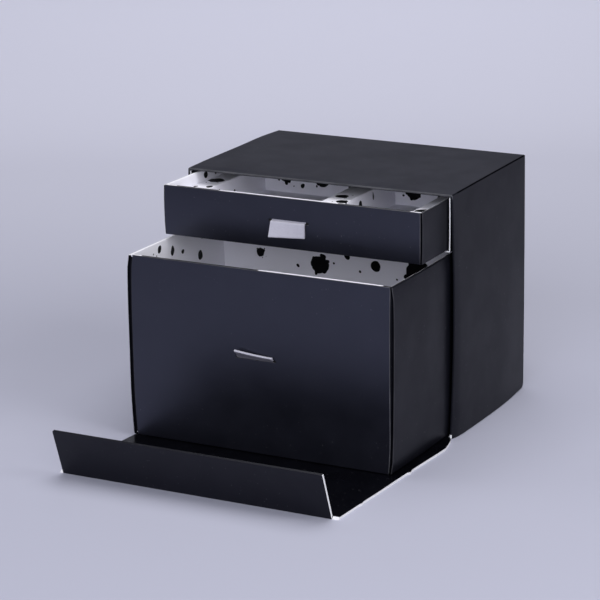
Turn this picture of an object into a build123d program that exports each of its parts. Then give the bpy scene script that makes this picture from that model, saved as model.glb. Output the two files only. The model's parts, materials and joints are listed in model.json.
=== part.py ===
from build123d import *

import os

# Drawer presentation box: a black card sleeve with two drawers and a front flap with a lip.
# The sleeve stands on Z = 0 and the origin is the centre of its underside. X runs across the front,
# Y from the front to the back, Z up. Sizes are millimetres. The box is modelled as it stands open:
# the flap lies on the floor and both drawers are pulled part of the way out.

os.makedirs("parts", exist_ok=True)

# Board, ribbon and clearances
board = 0.65  # one ply of folding board
slide_gap = 0.3  # air between a drawer and what it slides on or beside
glue_gap = 0.05  # air between plies that lie against each other
overrun = 5.0  # how far a cut runs past the faces it goes through
crease_radius = 0.5  # outside of a crease in one ply

# Sleeve
sleeve_width = 160.5
sleeve_depth = 103.0
sleeve_height = 137.0
sleeve_wall = 2 * board
wall_bow = 1.8  # how far each side wall bulges outwards at half height, at the mouth
back_bow = 0.2  # the same at the back, where the back panel holds the walls
sleeve_corner_radius = 0.8
mouth_rounding = 0.45  # hemmed edge around the mouth

# Back closure
back_inset = 0.3  # how far the back panel sits inside the sleeve's back end
tuck_depth = 12.0  # the back panel's tuck edge, under the top
dust_flap_reach = 46.0
dust_flap_corner = 6.0

# Shelf liner
top_bay_height = 30.4  # from the shelf's underside to the sleeve's top panel
liner_gap = 0.1  # air between the liner's flanges and the sleeve
liner_top_gap = 0.4

# Front flap and its lip
flap_wall = 2 * board
flap_overhang = 1.35  # how far the flap reaches past the sleeve's foot on each side
neck_inset = 0.85  # how far the flap's hinge stops short of the sleeve's foot on each side
neck_length = 7.0  # how far from the hinge the flap reaches its full width
shoulder_radius = 12.0  # curve between the neck and the flap's sides
lip_length = 28.5
lip_inset = 1.8  # how much narrower than the flap the lip's foot is, on each side
lip_taper = 0.4  # how much narrower again the lip's top is
lip_lean = 21.0  # degrees outwards from upright, as it stands open
lip_corner_radius = 0.6
crease_gap = 0.1  # air left on each side of the lip's crease

# Drawers
drawer_inset = 0.3  # how far a closed drawer's front lies behind the mouth
bottom_rim_gap = 1.9  # air between the deep drawer's rim and the shelf
top_rim_gap = 1.6  # air between the shallow drawer's rim and the sleeve's top panel
bottom_drawer_pull = 70.1  # how far the front stands out of the mouth
top_drawer_pull = 32.3
bottom_corner_gap = 1.2  # slot between the front panel and the side wall
top_corner_gap = 0.5
end_pocket = 0.9  # room for the tabs and the ribbon's ends, between the end walls and the lining
side_pocket = 0.3  # air between the side walls and the lining
tab_reach = 16.0
tab_clearance = 0.8  # how far the tabs stop short of the rim and the floor
bottom_lining_bow = 2.0  # how far the linings' side walls bulge inwards
top_lining_bow = 0.3
panel_rounding = 0.3  # outer edges of the front panels
rim_rounding = 0.3  # turned edges along the rims

# Insert of the top drawer
insert_drop = 6.3  # from the rim down to the platform
insert_gap = 0.4
front_ledge = 8.0
back_ledge = 7.5
left_ledge = 11.5
middle_bar = 13.9
left_well_width = 70.1
right_well_width = 40.8
well_depth = 14.9  # from the platform down to the wells' floors

# Ribbon pulls
ribbon_width = 22.0
ribbon_thickness = 0.35
slit_width = 24.2
slit_height = 1.5
layer_gap = 0.25  # between the ribbon's two layers in the slit
ribbon_tail = 11.0  # glued length above and below the slit
ribbon_bend = 0.3  # bends of the ribbon's middle line
loop_start = 1.1  # how far outside the panel the loop's outer layer bends
loop_root = 0.45  # the same for its inner layer
loop_opening = 1.4  # between the two layers at the loop's end
top_slit_below_rim = 12.8
top_loop_reach = 3.9
top_loop_drop = 9.4
bottom_slit_below_rim = 48.5
bottom_loop_reach = 5.2
bottom_loop_rise = 3.4
tape_width = 30.0
tape_height = 20.0
tape_thickness = 0.15

# Places worked out from the sizes
mouth = -sleeve_depth / 2
back_end = sleeve_depth / 2
inner_half_width = sleeve_width / 2 - sleeve_wall
inner_top = sleeve_height - sleeve_wall
shelf_level = inner_top - top_bay_height
back_panel_face = back_end - back_inset
dust_flap_face = back_panel_face - board
closure_face = dust_flap_face - board
shelf_top = shelf_level + board
flange_outer = inner_half_width - liner_gap
flange_inner = flange_outer - board

flap_length = sleeve_height + flap_wall
flap_half_width = sleeve_width / 2 + flap_overhang
neck_half_width = sleeve_width / 2 - neck_inset

bottom_drawer_rim = shelf_level - bottom_rim_gap
top_drawer_rim = inner_top - top_rim_gap
drawer_depth = closure_face - slide_gap - (mouth + drawer_inset)
bottom_half_width = inner_half_width - slide_gap
bottom_floor = sleeve_wall + slide_gap
top_half_width = flange_inner - slide_gap
top_floor = shelf_top + slide_gap
bottom_front = mouth - bottom_drawer_pull
top_front = mouth - top_drawer_pull


def facing_front(y):
    """The upright plane at y that looks to the front; a minus amount extrudes it backwards."""
    return Plane.XZ.offset(-y)


def facing_side(x):
    """The upright plane at x, with sketch X along the row's Y and sketch Y along its Z."""
    return Plane.YZ.offset(x)


def bowed_outline(half_width, low, high, bow, corner):
    """Outline between low and high whose two upright sides bulge by bow, corners rounded."""
    middle = (low + high) / 2
    with BuildLine() as outline:
        Line((-half_width, low), (half_width, low))
        ThreePointArc((half_width, low), (half_width + bow, middle), (half_width, high))
        Line((half_width, high), (-half_width, high))
        ThreePointArc((-half_width, high), (-half_width - bow, middle), (-half_width, low))
    make_face(outline.edges())
    if corner > 0:
        fillet(vertices(), radius=corner)


def bow_at(y):
    """How far the sleeve's side walls bulge at y, from the mouth to the back."""
    return wall_bow + (back_bow - wall_bow) * (y - mouth) / sleeve_depth


def slab(x_low, x_high, y_low, y_high, z_low, z_high, mode=Mode.ADD):
    """A flat-sided block between six named faces, added to the sub-part being built."""
    with BuildSketch(Plane.XY.offset(z_low)) as plan:
        with BuildLine():
            Polyline(
                (x_low, y_low), (x_high, y_low), (x_high, y_high), (x_low, y_high), close=True
            )
        make_face()
    extrude(plan.sketch, amount=z_high - z_low, mode=mode)


def finish(piece, name):
    """Labels a finished sub-part and writes it."""
    piece.part.label = name
    export_step(piece.part, f"parts/{name}.step")


def bowed_block(half_width, low, high, front, back, corner):
    """A block between two levels, flat above and below, whose side walls bulge as the sleeve's do."""
    reach = half_width + wall_bow + overrun
    middle = (low + high) / 2
    half_height = (high - low) / 2
    with BuildPart() as block:
        for y in (front, back):
            bow = bow_at(y)
            curve = (half_height**2 + bow**2) / (2 * bow)
            run_out = curve - (curve**2 - (half_height + overrun) ** 2) ** (1 / 2)
            outside = half_width + bow
            end = outside - run_out
            with BuildSketch(facing_front(y)):
                with BuildLine() as outline:
                    Line((-end, low - overrun), (end, low - overrun))
                    ThreePointArc((end, low - overrun), (outside, middle), (end, high + overrun))
                    Line((end, high + overrun), (-end, high + overrun))
                    ThreePointArc((-end, high + overrun), (-outside, middle), (-end, low - overrun))
                make_face(outline.edges())
        loft()
        slab(-reach, reach, front, back, low, high, mode=Mode.INTERSECT)
        fillet(edges().filter_by_position(Axis.Y, front, back, inclusive=(False, False)), radius=corner)
    return block


# The wrap: underside, sides and top in one, two plies thick
wrap = bowed_block(sleeve_width / 2, 0, sleeve_height, mouth, back_end, sleeve_corner_radius)
hollow = bowed_block(
    inner_half_width, sleeve_wall, inner_top, mouth - overrun, back_end + overrun, crease_radius
)
with BuildPart() as outer_sleeve:
    add(wrap.part)
    add(hollow.part, mode=Mode.SUBTRACT)
    fillet(faces().sort_by(Axis.Y)[0].edges(), radius=mouth_rounding)
finish(outer_sleeve, "outer_sleeve")

# The panel that closes the back, with its tuck edge under the top
with BuildPart() as back_panel:
    with BuildSketch(facing_front(dust_flap_face)):
        bowed_outline(
            inner_half_width - glue_gap, sleeve_wall, inner_top - glue_gap, back_bow, crease_radius
        )
    extrude(amount=-board)
    slab(
        -(inner_half_width - tuck_depth / 2),
        inner_half_width - tuck_depth / 2,
        closure_face - tuck_depth,
        dust_flap_face,
        inner_top - glue_gap - board,
        inner_top - glue_gap,
    )
finish(back_panel, "back_panel")


def dust_flap(side):
    """One of the two side flaps in front of the back panel; side is 1 on the right, -1 on the left."""
    root = side * (inner_half_width - glue_gap)
    tip = side * (inner_half_width - dust_flap_reach)
    low = sleeve_wall + slide_gap
    high = inner_top - glue_gap - board - slide_gap
    with BuildPart() as flap:
        with BuildSketch(facing_front(closure_face)):
            with BuildLine():
                Polyline(
                    (root, low),
                    (tip, low + dust_flap_corner),
                    (tip, high - dust_flap_corner),
                    (root, high),
                    close=True,
                )
            make_face()
        extrude(amount=-board)
    return flap


finish(dust_flap(-1), "back_dust_flap_left")
finish(dust_flap(1), "back_dust_flap_right")

# The shelf between the drawers, with its two upturned flanges
with BuildPart() as shelf_liner:
    liner_front = mouth + drawer_inset
    liner_back = closure_face - slide_gap
    flange_top = inner_top - liner_top_gap
    with BuildSketch(facing_front(liner_front)):
        with BuildLine():
            Polyline(
                (-flange_outer, flange_top),
                (-flange_outer, shelf_level),
                (flange_outer, shelf_level),
                (flange_outer, flange_top),
                (flange_inner, flange_top),
                (flange_inner, shelf_top),
                (-flange_inner, shelf_top),
                (-flange_inner, flange_top),
                close=True,
            )
        make_face()
        fillet(vertices().sort_by(Axis.Y)[:2], radius=crease_radius)
    extrude(amount=-(liner_back - liner_front))
finish(shelf_liner, "shelf_liner")


def mitre_foot(plane, length):
    """Slopes the crease side of a board at 45 degrees, so that it can fold square over its outer face.

    The plane's X runs along the board away from the crease, its Y through the board.
    """
    reach = flap_wall + overrun
    with BuildSketch(plane) as wedge:
        with BuildLine():
            Polyline(
                (crease_gap - overrun, -overrun),
                (crease_gap + reach, reach),
                (crease_gap - overrun, reach),
                close=True,
            )
        make_face()
    extrude(wedge.sketch, amount=length, mode=Mode.SUBTRACT)


# The door, as it lies in front of the sleeve, with rounded shoulders beside its hinge
flap_end = mouth - flap_length
shoulder = mouth - neck_length
crease_length = 2 * (flap_half_width + overrun)
with BuildPart() as front_flap:
    with BuildSketch():
        with BuildLine():
            Line((-neck_half_width, mouth), (neck_half_width, mouth))
            RadiusArc((neck_half_width, mouth), (flap_half_width, shoulder), shoulder_radius)
            Polyline(
                (flap_half_width, shoulder),
                (flap_half_width, flap_end),
                (-flap_half_width, flap_end),
                (-flap_half_width, shoulder),
            )
            RadiusArc((-flap_half_width, shoulder), (-neck_half_width, mouth), shoulder_radius)
        make_face()
    extrude(amount=flap_wall)
    mitre_foot(Plane((-crease_length / 2, flap_end, 0), x_dir=(0, 1, 0), z_dir=(1, 0, 0)), crease_length)
finish(front_flap, "front_flap")

# The lip, leaning outwards from the flap's end
lip_foot = flap_half_width - lip_inset
lip_top = lip_foot - lip_taper
lip_up = Vector(0, 0, 1).rotate(Axis.X, lip_lean)
lip_inwards = Vector(0, 1, 0).rotate(Axis.X, lip_lean)
with BuildPart() as flap_lip:
    with BuildSketch(Plane((0, flap_end, 0), x_dir=(1, 0, 0), z_dir=-lip_inwards)):
        with BuildLine():
            Polyline(
                (-lip_foot, 0),
                (lip_foot, 0),
                (lip_top, lip_length),
                (-lip_top, lip_length),
                close=True,
            )
        make_face()
        fillet(vertices().sort_by(Axis.Y)[-2:], radius=lip_corner_radius)
    extrude(amount=-flap_wall)
    mitre_foot(Plane((crease_length / 2, flap_end, 0), x_dir=lip_up, z_dir=(-1, 0, 0)), crease_length)
finish(flap_lip, "flap_lip")


def drawer_tray(half_width, front, floor, rim, corner_gap):
    """The black outside of a drawer: underside, sides and back, open at the front and the top.

    Each side wall ends at the front in a two-ply post, where the board turns in for its corner tab.
    """
    back = front + drawer_depth
    post = half_width - 2 * board
    panel = post - corner_gap
    with BuildPart() as tray:
        slab(-half_width, half_width, front, back, floor, rim)
        uprights = edges().filter_by(Axis.Z)
        creases = faces().sort_by(Axis.Z)[0].edges()
        fillet(uprights + creases, radius=crease_radius)
        fillet(faces().sort_by(Axis.Z)[-1].edges(), radius=rim_rounding)
        slab(
            -(half_width - board), half_width - board, front + board, back - board,
            floor + board, rim + overrun, mode=Mode.SUBTRACT,
        )
        slab(-post, post, front - overrun, front + board, floor + board, rim + overrun, mode=Mode.SUBTRACT)
        slab(-panel, panel, front - overrun, front + board, floor - overrun, rim, mode=Mode.SUBTRACT)
    return tray


def drawer_front(half_width, front, floor, rim, corner_gap, slit):
    """The front panel, which stands between the posts and has the slit for the ribbon."""
    panel = half_width - 2 * board - corner_gap
    with BuildPart() as front_panel:
        slab(-panel, panel, front, front + board, floor, rim)
        fillet(faces().sort_by(Axis.Y)[0].edges(), radius=panel_rounding)
        slab(
            -slit_width / 2, slit_width / 2, front - overrun, front + board + overrun,
            slit - slit_height / 2, slit + slit_height / 2, mode=Mode.SUBTRACT,
        )
    return front_panel


def corner_tabs(half_width, front, floor, rim):
    """The four tabs that hold the tray's corners, each glued inside an end wall."""
    inner = half_width - board
    low = floor + board + tab_clearance
    high = rim - board - tab_clearance
    front_face = front + board + glue_gap
    back_face = front + drawer_depth - board - glue_gap
    with BuildPart() as tabs:
        for y_low in (front_face, back_face - board):
            slab(-inner, -inner + tab_reach, y_low, y_low + board, low, high)
            slab(inner - tab_reach, inner, y_low, y_low + board, low, high)
    return tabs


def drawer_lining(half_width, front, floor, rim, bow):
    """The white inner ply: floor, four walls and the turned rim that meets the outer walls."""
    back = front + drawer_depth
    outer = half_width - board - side_pocket
    outer_front = front + board + end_pocket
    outer_back = back - board - end_pocket
    with BuildPart() as lining:
        with BuildSketch(facing_front(outer_front)):
            bowed_outline(outer, floor + board, rim, -bow, 0)
        extrude(amount=-(outer_back - outer_front))
        slab(-(half_width - board), half_width - board, front + board, back - board, rim - board, rim)
        with BuildSketch(facing_front(outer_front + board)):
            bowed_outline(outer - board, floor + 2 * board, rim, -bow, 0)
        extrude(amount=-(outer_back - outer_front - 2 * board), mode=Mode.SUBTRACT)
        fillet(faces().sort_by(Axis.Z)[-1].inner_wires().edges(), radius=rim_rounding)
    return lining


def ribbon_pull(front, slit, reach, rise):
    """A ribbon doubled through the slit: a loop outside, and both ends spread against the panel's back."""
    tail = front + board + glue_gap + ribbon_thickness / 2
    layer = (ribbon_thickness + layer_gap) / 2
    upwards = rise > 0
    above = loop_root if upwards else loop_start
    below = loop_start if upwards else loop_root
    near_end = (front - reach + loop_opening, slit + rise)
    far_end = (front - reach, slit + rise)
    with BuildPart() as pull:
        with BuildSketch(facing_side(-ribbon_width / 2)):
            with BuildLine() as path:
                FilletPolyline(
                    (tail, slit + layer + ribbon_tail),
                    (tail, slit + layer),
                    (front - above, slit + layer),
                    near_end if upwards else far_end,
                    far_end if upwards else near_end,
                    (front - below, slit - layer),
                    (tail, slit - layer),
                    (tail, slit - layer - ribbon_tail),
                    radius=ribbon_bend,
                )
            trace(path.line, line_width=ribbon_thickness)
        extrude(amount=ribbon_width)
    print("ribbon length", round(path.wire().length, 1))
    return pull


def ribbon_tape(front, slit):
    """The strip of tape that holds the ribbon's ends against the back of the front panel."""
    near = front + board + 2 * glue_gap + ribbon_thickness
    with BuildPart() as tape:
        slab(
            -tape_width / 2, tape_width / 2, near, near + tape_thickness,
            slit - tape_height / 2, slit + tape_height / 2,
        )
    return tape


# The deep drawer at the bottom
bottom = (bottom_half_width, bottom_front, bottom_floor, bottom_drawer_rim)
bottom_slit = bottom_drawer_rim - bottom_slit_below_rim
finish(drawer_tray(*bottom, bottom_corner_gap), "bottom_drawer_tray")
finish(drawer_front(*bottom, bottom_corner_gap, bottom_slit), "bottom_drawer_front")
finish(corner_tabs(*bottom), "bottom_drawer_corner_tabs")
finish(drawer_lining(*bottom, bottom_lining_bow), "bottom_drawer_lining")
finish(
    ribbon_pull(bottom_front, bottom_slit, bottom_loop_reach, bottom_loop_rise), "bottom_ribbon_pull"
)
finish(ribbon_tape(bottom_front, bottom_slit), "bottom_ribbon_tape")

# The shallow drawer at the top
top = (top_half_width, top_front, top_floor, top_drawer_rim)
top_slit = top_drawer_rim - top_slit_below_rim
finish(drawer_tray(*top, top_corner_gap), "top_drawer_tray")
finish(drawer_front(*top, top_corner_gap, top_slit), "top_drawer_front")
finish(corner_tabs(*top), "top_drawer_corner_tabs")
finish(drawer_lining(*top, top_lining_bow), "top_drawer_lining")
finish(ribbon_pull(top_front, top_slit, top_loop_reach, -top_loop_drop), "top_ribbon_pull")
finish(ribbon_tape(top_front, top_slit), "top_ribbon_tape")

# The white fitment of the top drawer: a platform on skirts, with two wells hung below it
insert_half_width = top_half_width - 2 * board - side_pocket - insert_gap
insert_front = top_front + 2 * board + end_pocket + insert_gap
insert_back = top_front + drawer_depth - 2 * board - end_pocket - insert_gap
insert_floor = top_floor + 2 * board
platform = top_drawer_rim - insert_drop
well_floor = platform - well_depth
well_front = insert_front + front_ledge
well_back = insert_back - back_ledge
left_well = -insert_half_width + left_ledge
right_well = left_well + left_well_width + middle_bar
wells = [(left_well, left_well + left_well_width), (right_well, right_well + right_well_width)]
with BuildPart() as top_drawer_insert:
    slab(-insert_half_width, insert_half_width, insert_front, insert_back, insert_floor, platform)
    slab(
        -(insert_half_width - board), insert_half_width - board, insert_front + board,
        insert_back - board, insert_floor - overrun, platform - board, mode=Mode.SUBTRACT,
    )
    for low, high in wells:
        slab(low - board, high + board, well_front - board, well_back + board, well_floor - board, platform)
    for low, high in wells:
        slab(low, high, well_front, well_back, well_floor, platform + overrun, mode=Mode.SUBTRACT)
    rolled = faces().filter_by(Axis.Z).sort_by(Axis.Z)[-1].inner_wires().edges()
    fillet(rolled, radius=crease_radius)
finish(top_drawer_insert, "top_drawer_insert")
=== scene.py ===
"""Looks of the drawer presentation box: black folding board, spattered white linings, satin pulls.

Everything is in metres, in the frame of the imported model. The box stands on Z = 0, X runs across
its front to the right, Y from front to back. The boards are the solids' own shapes, divided finely
and bent as card bends: walls that belly out, a top that lifts, a flap a little out of square.
The bends, the blots of ink and the rules that paint the boards are reckoned in millimetres.
"""

import bisect
import json
import math
import random

import bmesh
import bpy
from mathutils import Matrix, Vector

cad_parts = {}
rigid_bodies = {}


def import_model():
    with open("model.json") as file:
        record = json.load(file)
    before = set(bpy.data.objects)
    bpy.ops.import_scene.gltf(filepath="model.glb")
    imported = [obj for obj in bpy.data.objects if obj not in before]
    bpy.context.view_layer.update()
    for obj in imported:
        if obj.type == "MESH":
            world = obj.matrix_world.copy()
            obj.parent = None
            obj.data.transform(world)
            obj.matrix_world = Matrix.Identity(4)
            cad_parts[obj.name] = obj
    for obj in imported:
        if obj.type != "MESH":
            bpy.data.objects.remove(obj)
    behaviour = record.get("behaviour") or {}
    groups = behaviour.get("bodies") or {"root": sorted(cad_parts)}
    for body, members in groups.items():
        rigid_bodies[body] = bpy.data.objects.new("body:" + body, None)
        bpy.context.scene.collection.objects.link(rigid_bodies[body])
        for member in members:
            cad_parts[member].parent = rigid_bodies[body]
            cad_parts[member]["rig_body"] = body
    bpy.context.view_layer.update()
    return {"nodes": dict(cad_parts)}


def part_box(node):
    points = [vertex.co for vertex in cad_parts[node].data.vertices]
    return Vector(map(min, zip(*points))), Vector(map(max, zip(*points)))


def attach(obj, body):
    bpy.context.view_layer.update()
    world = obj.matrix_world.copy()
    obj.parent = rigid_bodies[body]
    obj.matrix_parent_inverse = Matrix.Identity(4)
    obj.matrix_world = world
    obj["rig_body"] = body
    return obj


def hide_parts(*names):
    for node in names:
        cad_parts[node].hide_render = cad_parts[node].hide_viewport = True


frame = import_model()

MM = 0.001
X, Y, Z = range(3)

# Sizes in millimetres
PLY = 0.65
SLEEVE_HALF = 80.25
FLAP_HALF = 81.6
LIP_HALF = 79.8
LIP_HEIGHT = 27

# Faces farther than this from the middle belong to a side
AT_SIDE = 78

# Just under the tops of the shelf's flanges, and just short of the crease between flap and lip
FLANGE_TOP = 134
LIP_CREASE = -188

# Edges that turn by more than this stay sharp
SHARP_ANGLE = math.radians(28)

sleeve_low, sleeve_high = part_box("outer_sleeve")
mouth = sleeve_low.y / MM
sleeve_top = sleeve_high.z / MM


# Shader helpers

def new_material(name):
    """An empty node material with its output and a Principled shader."""
    material = bpy.data.materials.new(name)
    material.use_nodes = True
    tree = material.node_tree
    tree.nodes.clear()
    output = tree.nodes.new("ShaderNodeOutputMaterial")
    shader = tree.nodes.new("ShaderNodeBsdfPrincipled")
    tree.links.new(shader.outputs[0], output.inputs["Surface"])
    return material, tree, shader


def put(tree, socket, value):
    """Sets a socket to a value, or links it to another socket."""
    if isinstance(value, bpy.types.NodeSocket):
        tree.links.new(value, socket)
    else:
        socket.default_value = value


def math_node(tree, operation, *values):
    """One Math node; returns its output."""
    made = tree.nodes.new("ShaderNodeMath")
    made.operation = operation
    for socket, value in zip(made.inputs, values):
        put(tree, socket, value)
    return made.outputs[0]


def vector_node(tree, operation, first, second=None, output="Vector"):
    """One Vector Math node; returns the output asked for."""
    made = tree.nodes.new("ShaderNodeVectorMath")
    made.operation = operation
    put(tree, made.inputs[0], first)
    if second is not None:
        put(tree, made.inputs[1], second)
    return made.outputs[output]


def noise(tree, place, size, detail, output="Fac"):
    """Noise whose features are about size metres across."""
    made = tree.nodes.new("ShaderNodeTexNoise")
    put(tree, made.inputs["Vector"], place)
    made.inputs["Scale"].default_value = 1 / size
    made.inputs["Detail"].default_value = detail
    return made.outputs[output]


def span(tree, value, low, high, to_low=0.0, to_high=1.0):
    """Maps value smoothly from low..high to to_low..to_high, level beyond them."""
    made = tree.nodes.new("ShaderNodeMapRange")
    made.interpolation_type = "SMOOTHSTEP"
    put(tree, made.inputs["Value"], value)
    made.inputs["From Min"].default_value = low
    made.inputs["From Max"].default_value = high
    made.inputs["To Min"].default_value = to_low
    made.inputs["To Max"].default_value = to_high
    return made.outputs[0]


def blend_colours(tree, factor, first, second):
    """Colour first where factor is 0, second where it is 1."""
    made = tree.nodes.new("ShaderNodeMix")
    made.data_type = "RGBA"
    put(tree, made.inputs["Factor"], factor)
    put(tree, made.inputs[6], first)
    put(tree, made.inputs[7], second)
    return made.outputs[2]


def bump(tree, height, distance, strength, after=None):
    """A Bump node of that distance in metres, on top of the normal after; returns the normal."""
    made = tree.nodes.new("ShaderNodeBump")
    made.inputs["Distance"].default_value = distance
    made.inputs["Strength"].default_value = strength
    put(tree, made.inputs["Height"], height)
    if after is not None:
        put(tree, made.inputs["Normal"], after)
    return made.outputs[0]


def object_place(tree):
    """Where the shaded point lies in the object's own frame."""
    return tree.nodes.new("ShaderNodeTexCoord").outputs["Object"]


# Materials

BLACK = (0.0042, 0.0043, 0.0072, 1)
BLACK_WORN = (0.0056, 0.0057, 0.0090, 1)
CORE = (0.90, 0.90, 0.93, 1)
CORE_DULL = (0.72, 0.72, 0.75, 1)
WHITE = (0.90, 0.893, 0.972, 1)
INK = (0.003, 0.003, 0.004, 1)
LINT = (0.07, 0.07, 0.08, 1)


def card_relief(tree, place, wave):
    """The slow waves, of strength wave, and the fine tooth of printed board."""
    waves = bump(tree, noise(tree, place, 45 * MM, detail=1), 0.25 * MM, wave)
    return bump(tree, noise(tree, place, 0.35 * MM, detail=3), 0.012 * MM, 0.5, after=waves)


def black_print(
    name, dark=BLACK, worn=BLACK_WORN, gloss=0.15, tint=(0.85, 0.87, 1), smooth=0.38, rough=0.44,
):
    """Black printed board under matt film, faintly mottled, with a little lint.

    gloss is its specular level, and its roughness wanders between smooth and rough.
    """
    material, tree, shader = new_material(name)
    place = object_place(tree)
    mottle = noise(tree, place, 14 * MM, detail=3)
    colour = blend_colours(tree, span(tree, mottle, 0.35, 0.7), dark, worn)
    speck = span(tree, noise(tree, place, 0.9 * MM, detail=0), 0.83, 0.87)
    put(tree, shader.inputs["Base Color"], blend_colours(tree, speck, colour, LINT))
    patches = noise(tree, place, 18 * MM, detail=2)
    put(tree, shader.inputs["Roughness"], span(tree, patches, 0.3, 0.7, smooth, rough))
    shader.inputs["Specular IOR Level"].default_value = gloss
    shader.inputs["Specular Tint"].default_value = (*tint, 1)
    put(tree, shader.inputs["Normal"], card_relief(tree, place, wave=0.25))
    return material


def raw_core(name, bright=CORE, dull=CORE_DULL):
    """The cut edge of white board, fibrous and uneven."""
    material, tree, shader = new_material(name)
    place = object_place(tree)
    fibre = noise(tree, place, 0.25 * MM, detail=2)
    put(tree, shader.inputs["Base Color"], blend_colours(tree, span(tree, fibre, 0.3, 0.75), dull, bright))
    put(tree, shader.inputs["Roughness"], 0.8)
    put(tree, shader.inputs["Normal"], bump(tree, fibre, 0.05 * MM, 0.7))
    return material


# How far a blot reaches into its board, in millimetres
BLOT_REACH = 9.0


def nearest_blot(tree, place, blots):
    """How far place is from the nearest blot, in that blot's own radii.

    Each blot is a centre and its radii along the three axes, in millimetres.
    """
    nearest = None
    for centre, radii in blots:
        offset = vector_node(tree, "SUBTRACT", place, tuple(c * MM for c in centre))
        scaled = vector_node(tree, "DIVIDE", offset, tuple(r * MM for r in radii))
        away = vector_node(tree, "LENGTH", scaled, output="Value")
        nearest = away if nearest is None else math_node(tree, "MINIMUM", nearest, away)
    return nearest


def splash(flat, centre, size, seed):
    """A blot on a wall square to the axis flat, with drops run into its edge and a few thrown clear.

    Its drops reach BLOT_REACH into the wall.
    """
    pick = random.Random(seed)
    blots = []

    def drop(angle, distance, radius, stretch=1.0):
        first, second = (axis for axis in (X, Y, Z) if axis != flat)
        middle = list(centre)
        radii = [BLOT_REACH] * 3
        middle[first] += distance * math.cos(angle)
        middle[second] += distance * math.sin(angle)
        radii[first] = radius
        radii[second] = radius * stretch
        blots.append((tuple(middle), tuple(radii)))

    drop(0, 0, size, pick.uniform(0.9, 1.15))
    lobes = 6
    for i in range(lobes):
        turn = (i + pick.uniform(0, 0.7)) / lobes * 2 * math.pi
        drop(turn, size * pick.uniform(0.75, 1.0), size * pick.uniform(0.16, 0.34))
    for _ in range(3):
        drop(pick.uniform(0, 2 * math.pi), size * pick.uniform(1.35, 2.1), size * pick.uniform(0.07, 0.18))
    return blots


def spattered_white(name, blots, speck_share=0.16):
    """White printed board with those blots of black ink, and specks in speck_share of its cells."""
    material, tree, shader = new_material(name)
    place = object_place(tree)
    wander = noise(tree, place, 4 * MM, detail=0, output="Color")
    wobble = vector_node(tree, "SUBTRACT", wander, (0.5, 0.5, 0.5))
    moved = vector_node(tree, "ADD", place, vector_node(tree, "MULTIPLY", wobble, (1.6 * MM,) * 3))
    drops = span(tree, nearest_blot(tree, moved, blots), 1.02, 0.97)
    cells = tree.nodes.new("ShaderNodeTexVoronoi")
    put(tree, cells.inputs["Vector"], moved)
    cells.inputs["Scale"].default_value = 1 / (7 * MM)
    chance = tree.nodes.new("ShaderNodeSeparateColor")
    put(tree, chance.inputs[0], cells.outputs["Color"])
    radius = span(tree, chance.outputs[0], 1 - speck_share, 1.0, 0.0, 0.11)
    specks = math_node(tree, "LESS_THAN", cells.outputs["Distance"], radius)
    ink = math_node(tree, "MAXIMUM", drops, specks)
    put(tree, shader.inputs["Base Color"], blend_colours(tree, ink, WHITE, INK))
    wet = math_node(tree, "MULTIPLY", ink, 0.12)
    put(tree, shader.inputs["Roughness"], math_node(tree, "SUBTRACT", 0.55, wet))
    shader.inputs["Specular IOR Level"].default_value = 0.1
    put(tree, shader.inputs["Normal"], card_relief(tree, place, wave=0.6))
    return material


def satin(name, shade, light):
    """Satin ribbon, woven fine across its width and a little creased."""
    material, tree, shader = new_material(name)
    place = object_place(tree)
    thread = noise(tree, vector_node(tree, "MULTIPLY", place, (0.15, 1, 1)), 0.22 * MM, detail=2)
    put(tree, shader.inputs["Base Color"], blend_colours(tree, thread, shade, light))
    put(tree, shader.inputs["Roughness"], 0.42)
    shader.inputs["Sheen Weight"].default_value = 0.25
    creases = noise(tree, vector_node(tree, "MULTIPLY", place, (1, 1, 0.35)), 3.5 * MM, detail=1)
    folds = bump(tree, creases, 0.5 * MM, 0.5)
    put(tree, shader.inputs["Normal"], bump(tree, thread, 0.04 * MM, 0.6, after=folds))
    return material


def paper_tape(name):
    """Black crepe tape."""
    material, tree, shader = new_material(name)
    place = object_place(tree)
    ripple = noise(tree, vector_node(tree, "MULTIPLY", place, (1, 1, 0.2)), 0.6 * MM, detail=2)
    put(tree, shader.inputs["Base Color"],
        blend_colours(tree, ripple, (0.008, 0.008, 0.010, 1), (0.020, 0.020, 0.024, 1)))
    put(tree, shader.inputs["Roughness"], 0.7)
    put(tree, shader.inputs["Normal"], bump(tree, ripple, 0.06 * MM, 0.7))
    return material


# Bends

def curve_through(*points):
    """A smooth function through (position, value) points, level beyond its ends."""
    xs = [p[0] for p in points]
    ys = [p[1] for p in points]
    last = len(points) - 1
    slopes = []
    for i in range(last + 1):
        before = max(i - 1, 0)
        after = min(i + 1, last)
        slopes.append((ys[after] - ys[before]) / (xs[after] - xs[before]))

    def at(x):
        if x <= xs[0]:
            return ys[0]
        if x >= xs[-1]:
            return ys[-1]
        i = bisect.bisect_right(xs, x) - 1
        width = xs[i + 1] - xs[i]
        t = (x - xs[i]) / width
        return (
            (2 * t**3 - 3 * t**2 + 1) * ys[i] + (t**3 - 2 * t**2 + t) * width * slopes[i]
            + (3 * t**2 - 2 * t**3) * ys[i + 1] + (t**3 - t**2) * width * slopes[i + 1]
        )

    return at


def share_across(x, half):
    """0 at the left wall, 1 at the right."""
    return min(1.0, max(0.0, 0.5 + x / (2 * half)))


def rise_share(value, low, high):
    """Smooth 0 to 1 as value goes from low to high."""
    t = min(1.0, max(0.0, (value - low) / (high - low)))
    return t * t * (3 - 2 * t)


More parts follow.
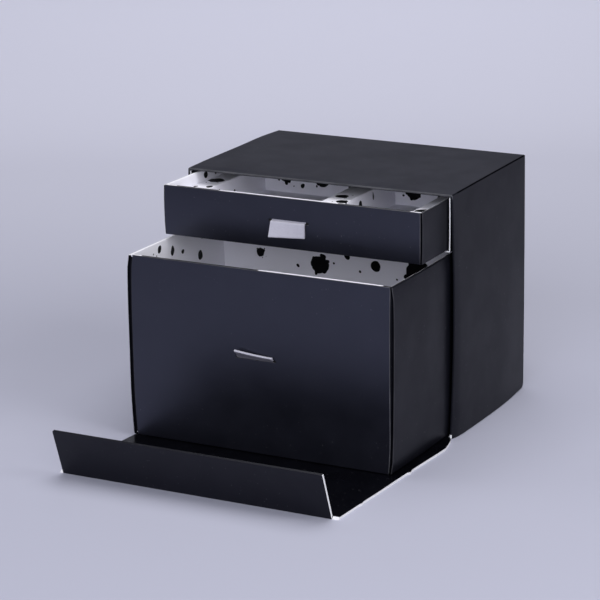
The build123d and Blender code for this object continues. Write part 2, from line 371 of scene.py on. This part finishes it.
# How far the sleeve's walls stand out, by the distance behind the mouth: at foot and head, and in between
foot_right = curve_through((0, 0.2), (4, 1.4), (10, 2.1), (30, 2.25), (60, 1.9), (80, 0.9), (103, -1.27))
head_right = curve_through((0, 0.55), (103, -1.6))
foot_left = curve_through((0, 0.6), (2, 0.9), (5, 1.0), (50, 0.8), (103, 0))
belly_left = curve_through((0, 0), (10, 0.3), (30, 0.6), (70, 0.5), (103, 0.1))
head_left = curve_through((0, 1.5), (2, 1.2), (7, 0.1), (103, -0.2))

# How far the left and right edges of the sleeve's top lift, by y
raise_left = curve_through((-51.5, -0.4), (-44, 0.55), (-20, 1.0), (4, 1.2), (30, 1.6), (51, 1.1))
raise_right = curve_through((-51.5, 0.0), (-44, 0.1), (0, 0.5), (51, 0.8))


def sleeve_bend(x, y, z):
    """The sleeve bellies at its foot, closes in at its back, and its top lifts."""
    along = y - mouth
    up = min(1.0, max(0.0, z / sleeve_top))
    across = share_across(x, SLEEVE_HALF)
    right = head_right(along) * up + foot_right(along) * (1 - up)
    left = head_left(along) * up + foot_left(along) * (1 - up) + 4 * up * (1 - up) * belly_left(along)
    lift = (raise_left(y) * (1 - across) + raise_right(y) * across) * rise_share(z, 95, sleeve_top)
    return right * across - left * (1 - across), 0, lift


def wrap_bend(x, y, z):
    """The wrap bends as the sleeve does, and its foot is knocked in at the back's right corner."""
    aside, along, lift = sleeve_bend(x, y, z)
    near_floor = (1 - min(1.0, z / 4)) ** 2
    knocked = -1.8 * near_floor * rise_share(y, 44, 51.5) * rise_share(x, 60, AT_SIDE)
    return aside, along + knocked, lift


# How far the shelf's flanges spread, by height
flange_spread = curve_through((106, 0.1), (112, 0.5), (120, 0.6), (128, 0.45), (134, 0.2))


def shelf_bend(x, y, z):
    """The shelf bends with the sleeve, and its flanges spread against the bulging walls."""
    aside, along, lift = sleeve_bend(x, y, z)
    spread = flange_spread(z) * (1 - rise_share(y - mouth, 30, 90))
    outwards = 0.3 * rise_share(x, 70, AT_SIDE) - rise_share(-x, 70, AT_SIDE)
    return aside + spread * outwards, along, lift


# How far the flap's sides are shifted to the right, by y
flap_right = curve_through(
    (-190, 0.2), (-170, 0.75), (-167.5, 0.8), (-165.5, 1.35), (-163, 0.9), (-145, 1.5), (-122, 1.95),
    (-117, 2.1), (-114, 2.15), (-112, 3.25), (-109, 2.45), (-94, 2.9), (-70, 3.8), (-65, 2.95),
    (-60, 1.6), (-57, 1.0), (mouth, 0),
)
flap_left = curve_through(
    (-190, -2.1), (-165, 0.2), (-134, 2.3), (-121, 3.05), (-90, 3.5), (-70, 3.3), (-58, 1.0), (mouth, 0)
)


def flap_bend(x, y, z):
    """The flap is cut a little out of square."""
    across = share_across(x, FLAP_HALF)
    return flap_right(y) * across + flap_left(y) * (1 - across), 0, 0


def lip_bend(x, y, z):
    """The lip stands a little to the left of the flap's middle."""
    up = min(1.0, z / LIP_HEIGHT)
    across = share_across(x, LIP_HALF)
    return (-1.7 + 0.6 * up) * across + (-1.7 + 0.45 * up) * (1 - across), 0, 0


# How far the drawers' walls and the ends of their front panels stand out, by height
deep_right = curve_through(
    (1.6, -0.55), (5, 0.3), (16, 0.9), (30, 1.2), (49, 1.5), (80, 1.7), (96, 1.5), (101, 1.1), (103.4, 0.4)
)
deep_panel_right = curve_through((1.6, 0.4), (9, 1.1), (20, 1.75), (96, 1.8), (103.4, 1.9))
deep_left = curve_through(
    (1.6, 0.6), (12, 1.25), (27, 1.8), (50, 1.9), (83, 1.95), (99, 1.45), (103.4, 0.55)
)
shallow_right = curve_through((106, 0.5), (112, 0.8), (128, 0.9), (134, 0.65))
shallow_panel_right = curve_through((106, 0.9), (112, 1.15), (128, 1.2), (134, 1.1))
shallow_left = curve_through((106, 0.3), (112, 0.7), (128, 0.85), (134, 0.6))


def drawer_bend(box, right_wall, left_wall, strength, narrowing):
    """A drawer's bend: its walls belly out as the tables say, by a share that fades to the back.

    strength gives that share and narrowing how far the right wall closes in, both by the distance
    behind the front.
    """
    half, front = box[1].x, box[0].y

    def bend(x, y, z):
        along = y - front
        across = share_across(x, half)
        right = right_wall(z) * strength(along) + narrowing(along)
        return right * across - left_wall(z) * strength(along) * (1 - across), 0, 0

    return bend


# Boards: the solids' shapes, divided, bent and painted face by face

def stations(low, high, step, extra):
    """Cut places from low to high about step apart, and the extra ones, which take over from close ones."""
    count = max(1, round((high - low) / step))
    places = [low + (high - low) * i / count for i in range(1, count)]
    kept = [p for p in places if all(abs(p - e) > step / 4 for e in extra)]
    return sorted(kept + [e for e in extra if low < e < high])


def card(name, node, bend, paints, step=7.0, cuts=()):
    """A bent copy of a CAD node that takes its place.

    paints is a list of (material, rule); the first rule that holds for a face's middle and normal, in
    millimetres as the solid stands, gives its material. cuts are extra (axis, place) divisions.
    """
    source = frame["nodes"][node]
    mesh = bpy.data.meshes.new(name)
    work = bmesh.new()
    work.from_mesh(source.data)
    bmesh.ops.remove_doubles(work, verts=work.verts, dist=1e-6)
    bmesh.ops.dissolve_limit(
        work, angle_limit=math.radians(0.1), use_dissolve_boundaries=False,
        verts=work.verts, edges=work.edges, delimit=set(),
    )
    low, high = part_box(node)
    for axis in (X, Y, Z):
        extra = [place for along, place in cuts if along == axis]
        direction = Vector((0, 0, 0))
        direction[axis] = 1
        for place in stations(low[axis] / MM, high[axis] / MM, step, extra):
            bmesh.ops.bisect_plane(
                work, geom=work.verts[:] + work.edges[:] + work.faces[:], dist=1e-7,
                plane_co=direction * place * MM, plane_no=direction,
            )
    work.normal_update()
    for face in work.faces:
        middle = face.calc_center_median() / MM
        for index, (material, rule) in enumerate(paints):
            if rule(middle, face.normal):
                face.material_index = index
                break
        face.smooth = True
    for vertex in work.verts:
        x, y, z = vertex.co / MM
        vertex.co += Vector(bend(x, y, z)) * MM
    work.to_mesh(mesh)
    work.free()
    for material, _ in paints:
        mesh.materials.append(material)
    mesh.set_sharp_from_angle(angle=SHARP_ANGLE)
    made = bpy.data.objects.new(name, mesh)
    bpy.context.scene.collection.objects.link(made)
    weigh = made.modifiers.new("even_shading", "WEIGHTED_NORMAL")
    weigh.keep_sharp = True
    weigh.weight = 100
    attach(made, source["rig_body"])
    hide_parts(node)


def everywhere(middle, normal):
    """Every face."""
    return True


plain_black = black_print("black_board")
sleeve_black = black_print("black_board_sleeve", gloss=0.2, smooth=0.46, rough=0.50)
top_black = black_print(
    "black_board_top", (0.0042, 0.0041, 0.0088, 1), (0.0058, 0.0057, 0.0112, 1),
    gloss=0.108, tint=(0.70, 0.73, 1), smooth=0.43, rough=0.47,
)
front_black = black_print("black_board_fronts", gloss=1.0, tint=(0.70, 0.74, 1), smooth=0.35, rough=0.39)
# The flap, far darker than the same board elsewhere: painted shade.
flap_shaded_black = black_print(
    "black_board_flap_painted_shade", (0.0011, 0.0011, 0.0022, 1), (0.0019, 0.0019, 0.0034, 1),
    gloss=0.10, smooth=0.27, rough=0.33,
)
# The lip, a little darker than the same board elsewhere: painted shade.
lip_shaded_black = black_print(
    "black_board_lip_painted_shade", (0.0034, 0.0034, 0.0068, 1), (0.0045, 0.0045, 0.0083, 1),
    gloss=0.26, smooth=0.34, rough=0.40,
)
# Near-black and dull: painted shade, laid on the sleeve's top folds and on the trays' fronts seen in the
# gaps beside the front panels.
painted_shade_black = black_print(
    "black_board_painted_shade", (0.0008, 0.0008, 0.0016, 1), (0.0018, 0.0018, 0.0030, 1), gloss=0.03,
)
# Lighter black: a painted highlight on the front edge of the sleeve's top and on the front panels' sides
# and tops.
edge_highlight_black = black_print("black_board_edge_highlight", (0.050, 0.051, 0.058, 1), (0.085, 0.086, 0.095, 1), gloss=0.3)
# A dimmer painted highlight, on the trays' rounded front corner folds.
fold_highlight_black = black_print("black_board_fold_highlight", (0.017, 0.017, 0.020, 1), (0.028, 0.028, 0.032, 1), gloss=0.3)
core = raw_core("board_core")
# The slits' cut edges: the white core darkened to grey, as painted shade.
slit_core_painted_shade = raw_core("slit_core_painted_shade", bright=(0.16, 0.16, 0.19, 1), dull=(0.09, 0.09, 0.11, 1))

# Where the linings' faces lie, in millimetres: the sides of both drawers, and the deep drawer's other faces
LEFT, RIGHT = -76, 76
DEEP_BACK, DEEP_FRONT, DEEP_FLOOR = -22, -119, 3
print_white_deep = spattered_white("white_board_deep", [
    ((LEFT, -114, 98), (9, 1.0, 1.3)), ((LEFT, -111, 97), (9, 0.7, 0.8)),
    *splash(X, (LEFT, -99, 93), 3.4, 4), ((LEFT, -91, 99), (9, 1.7, 2.3)),
    ((LEFT, -84, 88), (9, 1.0, 1.1)), ((LEFT, -77, 95), (9, 2.0, 3.0)),
    ((LEFT, -66, 92), (9, 1.2, 1.5)), ((LEFT, -48, 86), (9, 2.2, 2.8)),
    *splash(X, (LEFT, -72, 44), 8.0, 11), *splash(Y, (-52, DEEP_BACK, 84), 2.3, 5),
    ((-33, DEEP_BACK, 89), (1.1, 9, 1.1)), ((-28, DEEP_BACK, 79), (0.8, 9, 0.9)),
    *splash(Y, (-14, DEEP_BACK, 81), 5.6, 21), ((3, DEEP_BACK, 88), (1.6, 9, 1.7)),
    ((11, DEEP_BACK, 80), (0.8, 9, 0.8)), ((21, DEEP_BACK, 84), (3.0, 9, 3.2)),
    ((28, DEEP_BACK, 91), (2.2, 9, 2.1)), *splash(Y, (47, DEEP_BACK, 83), 7.4, 33),
    ((62, DEEP_BACK, 90), (2.4, 9, 2.6)), ((69, DEEP_BACK, 80), (1.2, 9, 1.3)),
    *splash(Y, (-10, DEEP_BACK, 46), 9.0, 8), *splash(X, (RIGHT, -78, 58), 7.0, 17),
    ((RIGHT, -48, 88), (9, 2.4, 2.8)), *splash(Y, (22, DEEP_FRONT, 74), 6.0, 27),
    *splash(Z, (-26, -74, DEEP_FLOOR), 12.0, 14), *splash(Z, (34, -58, DEEP_FLOOR), 7.0, 9),
])

# The shallow drawer's lining: its back, its floor and the strip of wall above the insert
TOP_BACK, TOP_FLOOR, TOP_STRIP = 15, 108, 131
print_white_shallow = spattered_white("white_board_shallow", [
    ((LEFT, -79, TOP_STRIP), (6, 0.9, 0.8)), ((LEFT, -41, TOP_STRIP), (6, 2.4, 2.0)),
    ((LEFT, -30, TOP_STRIP), (6, 1.4, 1.8)), *splash(Y, (20, TOP_BACK, 127), 5.0, 3),
    ((-35, TOP_BACK, 122), (3.4, 6, 3.8)), ((RIGHT, -50, 128), (6, 3.0, 2.6)),
    *splash(Z, (-40, -30, TOP_FLOOR), 9.0, 6), *splash(Z, (40, -20, TOP_FLOOR), 7.0, 2),
])

# The insert: its platform, its wells' floors, backs and left end, and the wall between them
PLATFORM, WELL_FLOOR = 127.8, 112.9
WELL_BACK, WELL_LEFT, WELL_WALL = 7, -64.5, 20
print_white_insert = spattered_white("white_board_insert", [
    *splash(Z, (-70.6, -39, PLATFORM), 4.4, 12), ((-66.5, -54, PLATFORM), (1.6, 2.6, 3)),
    ((-70, -71, PLATFORM), (2.6, 3.4, 3)), ((-74, -57, PLATFORM), (1.2, 1.6, 3)),
    ((WELL_LEFT, -64, 121), (3, 1.7, 2.2)), ((WELL_LEFT, -47, 124), (3, 0.8, 0.9)),
    ((WELL_LEFT, -30, 119), (3, 1.6, 2.0)), *splash(Z, (11, -44, PLATFORM), 3.8, 7),
    *splash(Z, (16.5, -55, PLATFORM), 3.2, 19), ((9, -69, PLATFORM), (2.0, 2.6, 3)),
    ((-44, -77, PLATFORM), (1.0, 0.9, 3)), ((34, -77, PLATFORM), (1.5, 1.0, 3)),
    *splash(Z, (66, -58, PLATFORM), 5.2, 23), *splash(Y, (-51, WELL_BACK, 122), 3.6, 18),
    ((-40, WELL_BACK, 118), (1.2, 5, 1.3)), *splash(Y, (-27, WELL_BACK, 122), 4.0, 41),
    ((-9, WELL_BACK, 121), (2.1, 5, 2.4)), *splash(Y, (30, WELL_BACK, 121), 4.6, 29),
    ((47, WELL_BACK, 119), (1.9, 5, 2.1)), ((56, WELL_BACK, 123), (1.2, 5, 1.3)),
    *splash(Z, (-30, -34, WELL_FLOOR), 5.0, 31), *splash(Z, (42, -30, WELL_FLOOR), 6.5, 35),
    ((WELL_WALL, -38, 122), (3, 2.2, 2.6)), ((WELL_WALL, -22, 124), (3, 0.9, 3.0)),
], speck_share=0.22)


# These folds are painted with painted shade.
def on_crease(middle, normal):
    """The rounded folds along the sleeve's top, but for their ends at the mouth."""
    at_fold = middle.z > sleeve_top - 1.2 and abs(middle.x) > AT_SIDE and 0.15 < normal.z < 0.97
    return at_fold and middle.y > mouth + 5.5


# This edge gets a painted highlight.
def on_mouth(middle, normal):
    """The front edge of the sleeve's top."""
    at_edge = middle.y < mouth + 0.6 and middle.z > sleeve_top - 2.5
    return at_edge and normal.y < -0.2 and normal.z > -0.2


def on_frayed_foot(middle, normal):
    """The worn end of the right wall, down at the mouth."""
    at_foot = middle.y < mouth + 0.8 and middle.x > AT_SIDE and middle.z < 2.5
    return at_foot and normal.y < -0.3


def on_top(middle, normal):
    """The sleeve's outer top."""
    return normal.z > 0.9 and middle.z > sleeve_top - 7


def dust_flap_edge(middle, normal):
    """The cut edges of a dust flap."""
    return abs(normal.y) < 0.5


def shelf_edge(middle, normal):
    """The shelf's cut ends, and the tops of its flanges."""
    return abs(normal.y) > 0.7 or (normal.z > 0.7 and middle.z > FLANGE_TOP)


def flap_edge(middle, normal):
    """The flap's cut sides, and the ends of its fold beside the lip."""
    beside_lip = middle.y < LIP_CREASE and abs(middle.x) > AT_SIDE
    return abs(normal.z) < 0.5 or (beside_lip and normal.z < 0.97)


def lip_edge(middle, normal):
    """The lip's cut ends."""
    return abs(normal.x) > 0.7


card(
    "sleeve_board", "outer_sleeve", wrap_bend,
    [(painted_shade_black, on_crease), (edge_highlight_black, on_mouth), (top_black, on_top), (core, on_frayed_foot),
     (sleeve_black, everywhere)],
    cuts=[(Z, 1.2), (Z, 2.5), (Z, 4.0), (Y, mouth + 2), (Y, mouth + 4)],
)
card("back_board", "back_panel", sleeve_bend, [(plain_black, everywhere)], step=12)
for side in ("left", "right"):
    card(
        f"dust_flap_board_{side}", f"back_dust_flap_{side}", sleeve_bend,
        [(core, dust_flap_edge), (plain_black, everywhere)], step=12,
    )
card(
    "shelf_board", "shelf_liner", shelf_bend, [(core, shelf_edge), (plain_black, everywhere)],
    step=10,
)
flap_notches = (-170, -167.5, -165.5, -163, -117, -114, -112, -109)
card(
    "flap_board", "front_flap", flap_bend, [(core, flap_edge), (flap_shaded_black, everywhere)],
    step=6, cuts=[(Y, place) for place in flap_notches] + [(X, -AT_SIDE), (X, AT_SIDE)],
)
card("lip_board", "flap_lip", lip_bend, [(core, lip_edge), (lip_shaded_black, everywhere)], step=6)


def dress_drawer(drawer, bend, front_bend, white, slit, proud):
    """The four boards of a drawer, with the black print turned over its rims.

    slit is the height of the ribbon's slit. Between the two places in proud, the lining stands a little
    above the front.
    """
    tray_low, tray_high = (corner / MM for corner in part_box(f"{drawer}_tray"))
    rim = tray_high.z
    half = tray_high.x
    front = tray_low.y
    right_turn = half - 1.3
    slit_half = 12.2
    proud_by = 0.16

    def on_rim(middle, normal):
        return normal.z > 0.3 and middle.z > rim - 0.4

    def white_rim(middle, normal):
        return on_rim(middle, normal) and middle.x < -half + 1.4

    def black_rim_and_painted_shade(middle, normal):
        """The lining's inner front face, painted black as painted shade, and its rim but for the left wall
        and the proud stretch.
        """
        # The inner front face: painted black, as painted shade.
        if normal.y > 0.7 and middle.y < front + 6:
            return True
        if not on_rim(middle, normal) or middle.x < -half + 2:
            return False
        return middle.x > right_turn or (middle.y < front + 3 and not proud[0] < middle.x < proud[1])

    def lining_bend(x, y, z):
        """The drawer's bend, with the proud stretch of the rim raised."""
        aside, along, up = bend(x, y, z)
        over_panel = rise_share(x, proud[0], proud[0] + 6) * rise_share(-x, -proud[1], 4 - proud[1])
        at_front = rise_share(-y, -front - 4, -front - 2.5)
        return aside, along, up + proud_by * over_panel * at_front * rise_share(z, rim - 6, rim)

    # The slit's cut edges get the darkened core, painted shade.
    def in_slit(middle, normal):
        return abs(middle.x) < slit_half and abs(middle.z - slit) < 1 and normal.z > 0.5

    # The tray's front corner folds get a painted highlight.
    def on_fold(middle, normal):
        return middle.y < front + 1.5 and normal.y < -0.2 and abs(normal.x) > 0.2

    # The tray's front, seen in the gap beside the front panel, is painted with painted shade.
    def behind_panel(middle, normal):
        return normal.y < -0.7 and middle.y < front + 1

    # The front panel's sides and top get a painted highlight.
    def panel_edge(middle, normal):
        """The front panel's sides and top."""
        return (abs(normal.x) > 0.3 and abs(middle.x) > 20) or (normal.z > 0.5 and middle.z > rim - 2)

    card(
        f"{drawer}_tray_board", f"{drawer}_tray", bend,
        [(core, white_rim), (fold_highlight_black, on_fold), (painted_shade_black, behind_panel), (plain_black, everywhere)],
    )
    card(
        f"{drawer}_front_board", f"{drawer}_front", front_bend,
        [(slit_core_painted_shade, in_slit), (edge_highlight_black, panel_edge), (front_black, everywhere)],
    )
    card(
        f"{drawer}_tabs_board", f"{drawer}_corner_tabs", bend, [(plain_black, everywhere)],
        step=12,
    )
    card(
        f"{drawer}_lining_board", f"{drawer}_lining", lining_bend,
        [(plain_black, black_rim_and_painted_shade), (white, everywhere)],
        cuts=[(X, right_turn), (X, proud[0]), (X, proud[1])],
    )


deep_box = [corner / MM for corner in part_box("bottom_drawer_tray")]
shallow_box = [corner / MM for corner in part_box("top_drawer_tray")]
deep_bend = drawer_bend(
    deep_box, deep_right, deep_left,
    strength=curve_through((0, 1), (45, 1), (70, 0.7), (100, 0)),
    narrowing=curve_through((0, 0), (45, 0), (100, -1.5)),
)
shallow_bend = drawer_bend(
    shallow_box, shallow_right, shallow_left,
    strength=curve_through((0, 1), (10, 0.8), (35, 0.35), (60, 0)),
    narrowing=curve_through((0, 0), (10, 0), (100, -1.5)),
)


def panel_bend(box, right_wall, left_wall, middle_shift, bow):
    """A front panel's bend: its ends follow the tables and its face bows out by bow.

    middle_shift moves its middle, and the slit with it, to the right.
    """
    foot, top = box[0].z, box[1].z

    def bend(x, y, z):
        out = min(1.0, abs(x) / box[1].x)
        end = right_wall(z) if x > 0 else -left_wall(z)
        rise = (z - foot) / (top - foot)
        return end * out**2 + middle_shift * (1 - out**2) ** 2, -bow * 4 * rise * (1 - rise), 0

    return bend


deep_panel_bend = panel_bend(
    deep_box, deep_panel_right, lambda z: 0.14 + 0.75 * deep_left(z), middle_shift=-1.2, bow=0.9,
)
shallow_panel_bend = panel_bend(
    shallow_box, shallow_panel_right, lambda z: 1.4 + 0.8 * shallow_left(z), middle_shift=-0.8, bow=0.5,
)

# The heights of the two slits
DEEP_SLIT = 54.9
SHALLOW_SLIT = 121.3
dress_drawer(
    "bottom_drawer", deep_bend, deep_panel_bend, print_white_deep, DEEP_SLIT, proud=(0, 73),
)
dress_drawer(
    "top_drawer", shallow_bend, shallow_panel_bend, print_white_shallow, SHALLOW_SLIT, proud=(-44, 28),
)
card("insert_board", "top_drawer_insert", shallow_bend, [(print_white_insert, everywhere)])

tape = paper_tape("paper_tape")
for node in ("top_ribbon_tape", "bottom_ribbon_tape"):
    mesh = frame["nodes"][node].data
    mesh.materials.clear()
    mesh.materials.append(tape)


# Ribbon pulls: one length of satin each, doubled through its slit

# Rows along a ribbon, columns across it, the radius of its folds and the length of each tail in millimetres
ROWS = 84
COLUMNS = 24
FOLD_RADIUS = 0.6
TAIL = 11.3

# Half the gap between its two passes through the slit
HALF_GAP = 0.3


def rounded_path(points):
    """Evenly spaced points along a path of straight runs whose corners are rounded, and its length."""
    corners = [Vector(p) for p in points]
    fine = [corners[0]]
    for before, corner, after in zip(corners, corners[1:], corners[2:]):
        back = (before - corner).normalized()
        on = (after - corner).normalized()
        reach = min(FOLD_RADIUS, (before - corner).length / 2, (after - corner).length / 2)
        start = corner + back * reach
        end = corner + on * reach
        for i in range(9):
            t = i / 8
            fine.append(start * (1 - t) ** 2 + corner * 2 * t * (1 - t) + end * t**2)
    fine.append(corners[-1])
    lengths = [0.0]
    for a, b in zip(fine, fine[1:]):
        lengths.append(lengths[-1] + (b - a).length)
    made = []
    for i in range(ROWS + 1):
        goal = lengths[-1] * i / ROWS
        j = min(max(bisect.bisect_right(lengths, goal) - 1, 0), len(fine) - 2)
        width = max(lengths[j + 1] - lengths[j], 1e-9)
        made.append(fine[j].lerp(fine[j + 1], (goal - lengths[j]) / width))
    return made, lengths[-1]


def ribbon(name, node, drawer, path_at, half, middle, shaded_from=ROWS):
    """A ribbon whose path in the side plane, in millimetres, is path_at(share of its width from the left).

    half is half its width and middle where that lies. The rows from the last argument on are far darker:
    painted shade.
    """
    vertices = []
    for i in range(COLUMNS + 1):
        share = i / COLUMNS
        points, length = path_at(share)
        for _, y, z in points:
            vertices.append(Vector((middle + (share - 0.5) * 2 * half, y, z)) * MM)
    faces = []
    for i in range(COLUMNS):
        for j in range(ROWS):
            here = i * (ROWS + 1) + j
            beside = here + ROWS + 1
            faces.append((here, here + 1, beside + 1, beside))
    mesh = bpy.data.meshes.new(name)
    mesh.from_pydata(vertices, [], faces)
    mesh.materials.append(ribbon_satin)
    mesh.materials.append(shaded_satin)
    for polygon in mesh.polygons:
        polygon.use_smooth = True
        polygon.material_index = int(polygon.index % ROWS >= shaded_from)
    made = bpy.data.objects.new(name, mesh)
    bpy.context.scene.collection.objects.link(made)
    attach(made, drawer)
    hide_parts(node)


def loop_path(front, slit, ends_at, over, under):
    """A ribbon's path at a share of its width: in through the slit, out round a loop and back in.

    ends_at(share) gives the loop's points as (out from the front, up from the slit). over and under say
    how far the upper and lower pass run on straight, out from the front.
    """
    tail_place = front + PLY + 0.225
    upper = slit + HALF_GAP
    lower = slit - HALF_GAP

    def at(share):
        loop = [(0, front - out, slit + up) for out, up in ends_at(share)]
        points = [
            (0, tail_place, slit + TAIL), (0, tail_place, upper), (0, front - over, upper), *loop,
            (0, front - under, lower), (0, tail_place, lower), (0, tail_place, slit - TAIL),
        ]
        return rounded_path(points)

    return at


def hanging_loop(share):
    """The upper pull hangs, standing out more at its left."""
    out = 4.3 - 2.6 * share
    down = -8.5 + 0.7 * share
    return (out, down), (out - 1.2, down * 0.96)


def nose_loop(share):
    """The lower pull stands out as a thin rounded nose, higher at its left."""
    out = 3.9 - 2.1 * share
    up = 4.4 - 3.5 * share + 1.1 * share * share
    return (out - 1.5, up + 0.35), (out, up + 0.1), (out - 0.25, up - 1.3), (out - 1.7, up - 1.5)


ribbon_satin = satin("satin_ribbon", (0.44, 0.43, 0.51, 1), (0.56, 0.55, 0.64, 1))
# Far darker satin for the lower pull's underside, back to its slit: painted shade.
shaded_satin = satin("satin_ribbon_painted_shade", (0.075, 0.072, 0.098, 1), (0.12, 0.116, 0.148, 1))
ribbon(
    "top_ribbon", "top_ribbon_pull", "top_drawer",
    loop_path(shallow_box[0].y - 0.5, SHALLOW_SLIT - 0.4, hanging_loop, over=1.1, under=0.45),
    half=10.3, middle=-0.9,
)
ribbon(
    "bottom_ribbon", "bottom_ribbon_pull", "bottom_drawer",
    loop_path(deep_box[0].y - 0.9, DEEP_SLIT, nose_loop, over=0.6, under=0.5),
    half=10.8, middle=-1.5, shaded_from=43,
)


# Camera, fitted to the photograph: a long lens 28 degrees round to the right and 16 above the horizon

def look(name, target, azimuth, elevation, roll, distance, lens):
    """A camera at that bearing and distance from target, looking at it.

    target(right, up) gives the point looked at, from the camera's own directions before its roll.
    """
    bearing, height, tilt = (math.radians(angle) for angle in (azimuth, elevation, roll))
    back = Vector((
        math.sin(bearing) * math.cos(height), -math.cos(bearing) * math.cos(height), math.sin(height)
    ))
    right = (-back).cross(Vector((0, 0, 1))).normalized()
    up = right.cross(-back)
    turned_right = math.cos(tilt) * right + math.sin(tilt) * up
    turned_up = math.cos(tilt) * up - math.sin(tilt) * right
    camera = bpy.data.objects.new(name, bpy.data.cameras.new(name))
    bpy.context.scene.collection.objects.link(camera)
    camera.data.lens = lens
    camera.data.sensor_width = 36
    camera.matrix_world = Matrix.Translation(target(right, up) + back * distance) @ Matrix(
        (turned_right, turned_up, back)
    ).transposed().to_4x4()
    return camera


camera = look(
    "camera",
    target=lambda right, up: Vector((0, mouth * MM, 72 * MM)) - 10.5 * MM * right - 2.3 * MM * up,
    azimuth=28.04, elevation=15.80, roll=-0.797, distance=1444.7 * MM, lens=156.95,
)
camera.data.clip_start = 0.05
bpy.context.scene.camera = camera


# Studio: a lavender-grey sweep, a wide soft box overhead and five smaller ones round the box

def sweep():
    """Floor and backdrop in one curved sheet, low enough behind the box to look over from there."""
    profile = [(-2.5, 0.0), (-1.0, 0.0), (0.6, 0.0)]
    rise = [(3, 0.0314)] * 10 + [(0, 0.09)]
    level = [(-2, 0.03)] * 10 + [(0, 0.5)] * 4
    wall = [(8, 0.2)] * 10 + [(0, 2.5)]
    slope = 0
    for steeper, run in rise + level + wall:
        along, up = profile[-1]
        slope += steeper
        angle = math.radians(slope - steeper / 2)
        profile.append((along + run * math.cos(angle), up + run * math.sin(angle)))
    half = 3.0
    turn = math.radians(28)
    sine, cosine = math.sin(turn), math.cos(turn)
    vertices = []
    for y, z in profile:
        for x in (-half, half):
            vertices.append((x * cosine - y * sine, x * sine + y * cosine, z))
    faces = [(2 * i, 2 * i + 1, 2 * i + 3, 2 * i + 2) for i in range(len(profile) - 1)]
    mesh = bpy.data.meshes.new("sweep")
    mesh.from_pydata(vertices, [], faces)
    mesh.polygons.foreach_set("use_smooth", [True] * len(mesh.polygons))
    made = bpy.data.objects.new("sweep", mesh)
    bpy.context.scene.collection.objects.link(made)
    material, tree, shader = new_material("sweep")
    parts = tree.nodes.new("ShaderNodeSeparateXYZ")
    tree.links.new(object_place(tree), parts.inputs[0])
    depth = math_node(
        tree, "ADD", math_node(tree, "MULTIPLY", parts.outputs["X"], -sine),
        math_node(tree, "MULTIPLY", parts.outputs["Y"], cosine),
    )
    # Painted light: the sheet's colour grows lighter towards the back and up the wall.
    upper = span(tree, math_node(tree, "ADD", depth, parts.outputs["Z"]), 0.05, 0.80)
    put(tree, shader.inputs["Base Color"],
        blend_colours(tree, upper, (0.487, 0.492, 0.600, 1), (0.762, 0.765, 0.905, 1)))
    put(tree, shader.inputs["Roughness"], 0.9)
    put(tree, shader.inputs["Specular IOR Level"], 0.1)
    mesh.materials.append(material)


def soft_box(name, place, aim, size, power, colour=(1, 1, 1)):
    """A square area lamp at place, turned to aim."""
    data = bpy.data.lights.new(name, "AREA")
    data.size = size
    data.energy = power
    data.color = colour
    lamp = bpy.data.objects.new(name, data)
    lamp.location = place
    lamp.rotation_mode = "QUATERNION"
    lamp.rotation_quaternion = (Vector(aim) - Vector(place)).to_track_quat("-Z", "Y")
    bpy.context.scene.collection.objects.link(lamp)


sweep()
box_middle = (0, -0.05, 0.07)
soft_box("overhead", (0, 0.15, 1.35), (0, 0, 0), 1.2, 10.9)
soft_box("high_front", (0.35, -1.6, 0.75), box_middle, 1.0, 15.1, colour=(0.90, 0.92, 1))
soft_box("from_right", (1.1, -0.25, 0.75), box_middle, 0.7, 6.3)
soft_box("low_right", (1.5, -1.35, 0.62), box_middle, 1.2, 8.9)
soft_box("from_left", (-1.0, -0.3, 0.8), box_middle, 0.7, 1.8)
soft_box("from_behind", (-0.75, 1.35, 0.95), box_middle, 0.8, 1.8, colour=(0.86, 0.88, 1))

world = bpy.data.worlds.new("world")
bpy.context.scene.world = world
world.use_nodes = True
background = world.node_tree.nodes["Background"]
background.inputs["Color"].default_value = (0.75, 0.76, 0.85, 1)
background.inputs["Strength"].default_value = 0.01

bpy.context.scene.view_settings.view_transform = "Standard"
